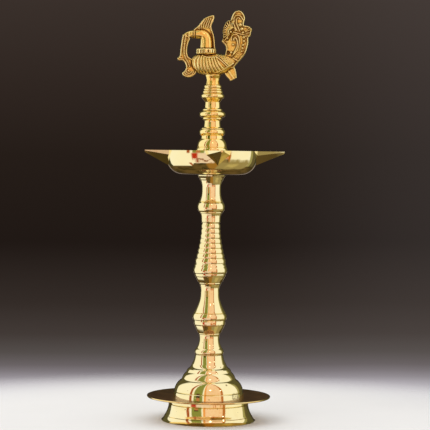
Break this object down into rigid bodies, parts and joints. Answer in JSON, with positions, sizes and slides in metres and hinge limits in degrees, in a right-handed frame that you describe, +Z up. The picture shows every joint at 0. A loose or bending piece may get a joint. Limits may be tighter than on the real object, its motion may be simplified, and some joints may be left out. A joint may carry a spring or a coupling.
{
  "type": "standing oil lamp",
  "caption": "Turned brass standing oil lamp: clamped foot, drip plate and bell, screwed stem sections, pointed-spout oil bowl and a peacock finial that all unscrew.",
  "frame": {"origin": "centre of the face the foot stands on", "axes": "+Z up the lamp's axis, -Y towards the front, +X towards the peacock's tail"},
  "size_m": [0.1104, 0.1104, 0.3237],
  "materials": {
    "polished_brass": "mirror polished",
    "tarnished_brass": "dark brown tarnish over polished brass",
    "antique_brass": "cast, with dark recesses and rubbed high spots",
    "steel": "plain turned",
    "rubber": "matt"
  },
  "bodies": {
    "base": {"base_foot": "polished_brass", "drip_plate": "tarnished_brass", "base_bell": "polished_brass", "tie_rod": "steel"},
    "clamp_washer": {"clamp_washer": "steel"},
    "clamp_nut": {"clamp_nut": "steel"},
    "lower_stud": {"lower_stud": "steel"},
    "lower_stem": {"lower_stem": "polished_brass"},
    "middle_stud": {"middle_stud": "steel"},
    "middle_stem": {"middle_stem": "polished_brass"},
    "upper_stud": {"upper_stud": "steel"},
    "upper_stem": {"upper_stem": "polished_brass"},
    "lower_bowl_seal": {"lower_bowl_seal": "rubber"},
    "oil_bowl": {"oil_bowl": "polished_brass"},
    "upper_bowl_seal": {"upper_bowl_seal": "rubber"},
    "column": {"finial_column": "polished_brass", "column_stud": "steel"},
    "peacock_stud": {"peacock_stud": "steel"},
    "peacock": {"peacock": "antique_brass"}
  },
  "joints": [
    {"name": "nut_backs_off", "type": "slide", "parent": "base", "child": "clamp_washer", "axis": [0, 0, -1], "range_m": [0, 0.00562]},
    {"name": "nut_turn", "type": "hinge", "parent": "clamp_washer", "child": "clamp_nut", "pos_m": [0, 0, 0.0094], "axis": [0, 0, -1], "range_deg": [0, 1625]},
    {"name": "lower_stem_rise", "type": "slide", "parent": "base", "child": "lower_stud", "axis": [0, 0, 1], "range_m": [0, 0.0105]},
    {"name": "lower_stem_turn", "type": "hinge", "parent": "lower_stud", "child": "lower_stem", "pos_m": [0, 0, 0.0517], "axis": [0, 0, 1], "range_deg": [0, 2525]},
    {"name": "middle_stem_rise", "type": "slide", "parent": "lower_stem", "child": "middle_stud", "axis": [0, 0, 1], "range_m": [0, 0.0105]},
    {"name": "middle_stem_turn", "type": "hinge", "parent": "middle_stud", "child": "middle_stem", "pos_m": [0, 0, 0.0792], "axis": [0, 0, 1], "range_deg": [0, 2525]},
    {"name": "upper_stem_rise", "type": "slide", "parent": "middle_stem", "child": "upper_stud", "axis": [0, 0, 1], "range_m": [0, 0.0105]},
    {"name": "upper_stem_turn", "type": "hinge", "parent": "upper_stud", "child": "upper_stem", "pos_m": [0, 0, 0.1161], "axis": [0, 0, 1], "range_deg": [0, 2525]},
    {"name": "bowl_lift", "type": "slide", "parent": "upper_stem", "child": "lower_bowl_seal", "axis": [0, 0, 1], "range_m": [0, 0.025]},
    {"name": "bowl_turn", "type": "hinge", "parent": "lower_bowl_seal", "child": "oil_bowl", "pos_m": [0, 0, 0.1945], "axis": [0, 0, 1], "continuous": true},
    {"name": "column_rise", "type": "slide", "parent": "lower_bowl_seal", "child": "upper_bowl_seal", "axis": [0, 0, 1], "range_m": [0, 0.0105]},
    {"name": "column_turn", "type": "hinge", "parent": "upper_bowl_seal", "child": "column", "pos_m": [0, 0, 0.1973], "axis": [0, 0, 1], "range_deg": [0, 2525]},
    {"name": "peacock_rise", "type": "slide", "parent": "column", "child": "peacock_stud", "axis": [0, 0, 1], "range_m": [0, 0.007]},
    {"name": "peacock_turn", "type": "hinge", "parent": "peacock_stud", "child": "peacock", "pos_m": [0, 0, 0.2648], "axis": [0, 0, 1], "range_deg": [0, 2525]}
  ],
  "couplings": [
    {"joint": "nut_turn", "follows": "nut_backs_off", "rad_per_m": 5026.5},
    {"joint": "lower_stem_turn", "follows": "lower_stem_rise", "rad_per_m": 4188.8},
    {"joint": "middle_stem_turn", "follows": "middle_stem_rise", "rad_per_m": 4188.8},
    {"joint": "upper_stem_turn", "follows": "upper_stem_rise", "rad_per_m": 4188.8},
    {"joint": "column_turn", "follows": "column_rise", "rad_per_m": 4188.8},
    {"joint": "peacock_turn", "follows": "peacock_rise", "rad_per_m": 6283.2}
  ]
}
